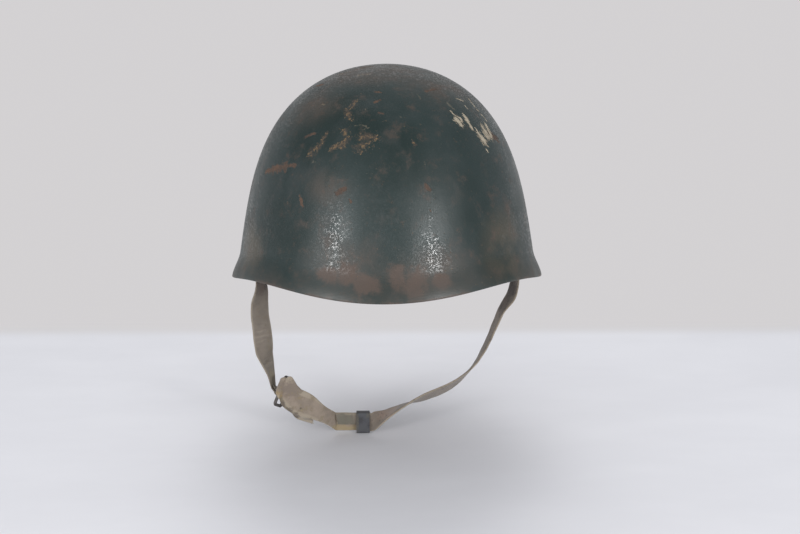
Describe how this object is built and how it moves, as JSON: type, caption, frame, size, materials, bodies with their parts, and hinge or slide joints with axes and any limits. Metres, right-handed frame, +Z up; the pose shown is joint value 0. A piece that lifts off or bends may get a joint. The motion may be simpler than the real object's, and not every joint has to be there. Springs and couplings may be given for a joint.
{
  "type": "military helmet",
  "caption": "Deep steel combat helmet with a flared wavy rim, a sprung two-band steel liner frame, a laced leather head liner and a buckled webbing chin strap.",
  "frame": {"origin": "middle of the head opening, at the height of the rim at the two sides, where the helmet sits on the head", "axes": "+Z up through the crown, -Y to the front of the helmet, +X to the side on the right of the picture"},
  "size_m": [0.248, 0.286, 0.3055],
  "materials": {
    "shell_paint": "worn semi-gloss paint on pressed steel",
    "vent_paint": "worn paint over rolled steel",
    "band_paint": "thin paint on strip steel",
    "spring_steel": "blued spring steel",
    "fixing_steel": "dull zinc-grey steel",
    "hanger_steel": "dull sheet steel",
    "wire_steel": "darkened steel wire",
    "keeper_steel": "dull grey sheet steel",
    "liner_leather": "aged vegetable-tanned leather",
    "lace_cord": "braided cotton cord",
    "webbing_grey": "faded grey-brown cotton webbing",
    "webbing_tan": "faded tan cotton webbing",
    "webbing_olive": "faded olive cotton webbing"
  },
  "bodies": {
    "helmet": {"shell": "shell_paint", "vent_rivet_left": "vent_paint", "vent_rivet_right": "vent_paint", "vent_rivet_rear": "vent_paint", "spacer_left": "fixing_steel", "spacer_right": "fixing_steel", "spacer_rear": "fixing_steel", "rivet_washer_left": "fixing_steel", "rivet_washer_right": "fixing_steel", "rivet_washer_rear": "fixing_steel", "outer_band": "band_paint", "inner_band": "band_paint", "band_spring_1": "spring_steel", "band_spring_2": "spring_steel", "band_spring_3": "spring_steel", "band_spring_4": "spring_steel", "band_spring_5": "spring_steel", "band_spring_6": "spring_steel", "spring_rivets": "fixing_steel", "leather_liner": "liner_leather", "leather_rivets": "fixing_steel", "liner_lace": "lace_cord", "strap_rivet_left": "fixing_steel", "strap_rivet_right": "fixing_steel"},
    "chinstrap": {"strap_hanger_left": "hanger_steel", "strap_hanger_right": "hanger_steel", "side_ring_left": "wire_steel", "side_ring_right": "wire_steel", "strap_left": "webbing_grey", "strap_middle": "webbing_tan", "strap_right": "webbing_olive", "buckle_ring": "wire_steel"},
    "keeper": {"keeper": "keeper_steel"}
  },
  "joints": [
    {"name": "chinstrap_swing", "type": "hinge", "parent": "helmet", "child": "chinstrap", "pos_m": [0, 0, 0.054], "axis": [1, 0, 0], "range_deg": [-40, 40]},
    {"name": "keeper_travel", "type": "slide", "parent": "chinstrap", "child": "keeper", "axis": [-1, 0, 0], "range_m": [0, 0.014]}
  ]
}
